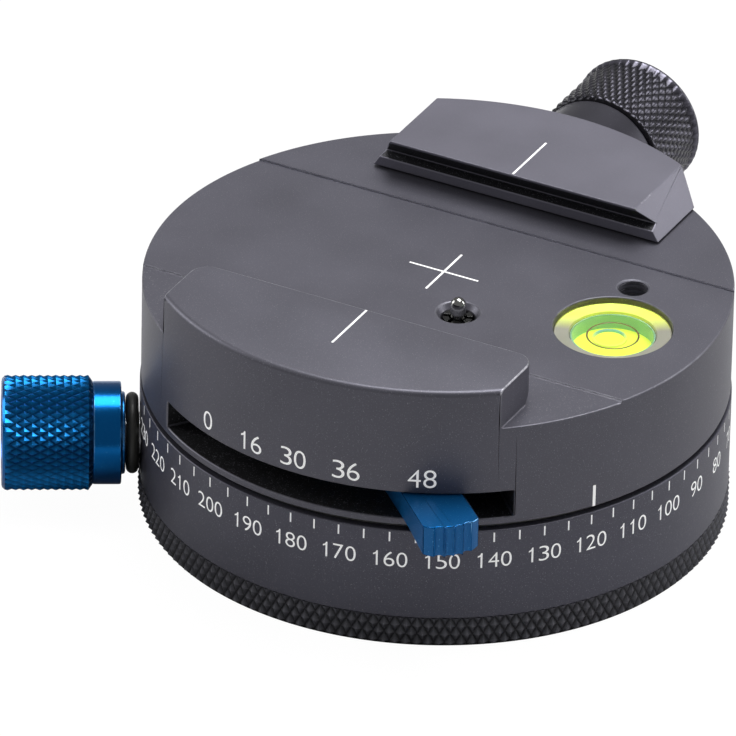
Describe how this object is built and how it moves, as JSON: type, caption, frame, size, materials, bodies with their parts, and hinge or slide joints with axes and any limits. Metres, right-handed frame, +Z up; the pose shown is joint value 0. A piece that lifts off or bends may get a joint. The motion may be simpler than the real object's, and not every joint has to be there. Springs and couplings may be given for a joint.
{
  "type": "panning plate",
  "caption": "Round panning plate for stitched photographs: turned base with a degree scale, rotor with a dovetail clamp, round level, safety pin and click-stop lever.",
  "frame": {"origin": "on the pan axis, in the plane of the base's underside, at the mouth of the tripod socket", "axes": "+Z up along the pan axis; +X along the clamp's jaws, the way a plate slides through; +Y from the fixed jaw towards the movable jaw and its knob"},
  "size_m": [0.0898, 0.0979, 0.0371],
  "materials": {
    "rotor": "dark grey anodised, fine matt blasted grain",
    "base": "dark grey anodised, satin turned wall",
    "lever_blue": "blue anodised, satin",
    "knob_blue": "blue anodised, diamond knurled grip",
    "knob_black": "dark anodised, diamond knurled grip",
    "rubber_ring": "matt black rubber",
    "steel": "turned steel",
    "pin_steel": "bright polished steel",
    "hard_steel": "ground hardened steel",
    "bronze": "plain turned bronze",
    "glide": "matt low-friction plastic",
    "level_yellow": "fluorescent yellow",
    "level_liquid": "clear yellow-green liquid",
    "level_clear": "clear polished acrylic"
  },
  "bodies": {
    "base": {"base_body": "base", "glide_ring": "glide", "tripod_bush": "steel", "pivot_bush": "bronze", "index_disc": "hard_steel", "index_screw_1": "steel", "index_screw_2": "steel", "index_screw_3": "steel"},
    "rotor": {"rotor_body": "rotor", "brake_ring": "base", "brake_screw_1": "steel", "brake_screw_2": "steel", "brake_screw_3": "steel", "brake_screw_4": "steel", "pivot_washer": "steel", "pivot_bolt": "steel", "lever_screw": "steel", "select_spring": "steel", "pin_sleeve": "pin_steel", "pin_spring": "steel", "level_base": "level_yellow", "level_vial": "level_clear", "level_liquid": "level_liquid"},
    "lever": {"stop_lever": "lever_blue", "detent_spring": "steel"},
    "plunger": {"detent_plunger": "hard_steel"},
    "ball": {"select_ball": "hard_steel"},
    "pin": {"safety_pin": "pin_steel"},
    "jaw": {"movable_jaw": "rotor", "clamp_washer": "steel", "guide_pin_1": "steel", "guide_pin_2": "steel"},
    "clamp": {"clamp_knob": "knob_black", "clamp_screw": "steel"},
    "shoe": {"brake_shoe": "bronze"},
    "lock": {"lock_knob": "knob_blue", "lock_screw": "steel", "lock_ring": "rubber_ring"}
  },
  "joints": [
    {"name": "pan", "type": "hinge", "parent": "base", "child": "rotor", "pos_m": [0, 0, 0], "axis": [0, 0, 1], "continuous": true},
    {"name": "stop_select", "type": "hinge", "parent": "rotor", "child": "lever", "pos_m": [0.0008, -0.0179, 0.0205], "axis": [0, 0, 1], "range_deg": [-87.6, 0]},
    {"name": "detent_lift", "type": "slide", "parent": "lever", "child": "plunger", "axis": [0, 0, 1], "range_m": [0, 0.0005], "stiffness_N_per_m": 200, "deforming": ["detent_spring"]},
    {"name": "select_lift", "type": "slide", "parent": "rotor", "child": "ball", "axis": [0, 0, 1], "range_m": [0, 0.0004], "stiffness_N_per_m": 200, "deforming": ["select_spring"]},
    {"name": "pin_press", "type": "slide", "parent": "rotor", "child": "pin", "axis": [0, 0, -1], "range_m": [0, 0.0021], "stiffness_N_per_m": 400, "deforming": ["pin_spring"]},
    {"name": "jaw_travel", "type": "slide", "parent": "rotor", "child": "jaw", "axis": [0, 1, 0], "range_m": [-0.0045, 0.0025]},
    {"name": "clamp_turn", "type": "hinge", "parent": "jaw", "child": "clamp", "pos_m": [0, 0.0386, 0.02735], "axis": [0, 1, 0], "range_deg": [-1620, 900]},
    {"name": "shoe_travel", "type": "slide", "parent": "base", "child": "shoe", "axis": [-0.8678, -0.497, 0], "range_m": [0, 0.0008]},
    {"name": "lock_turn", "type": "hinge", "parent": "shoe", "child": "lock", "pos_m": [-0.03471, -0.01988, 0.009], "axis": [-0.8678, -0.497, 0], "range_deg": [0, 288]}
  ],
  "couplings": [
    {"joint": "clamp_turn", "follows": "jaw_travel", "rad_per_m": 6283.2},
    {"joint": "lock_turn", "follows": "shoe_travel", "rad_per_m": 6283.2}
  ]
}
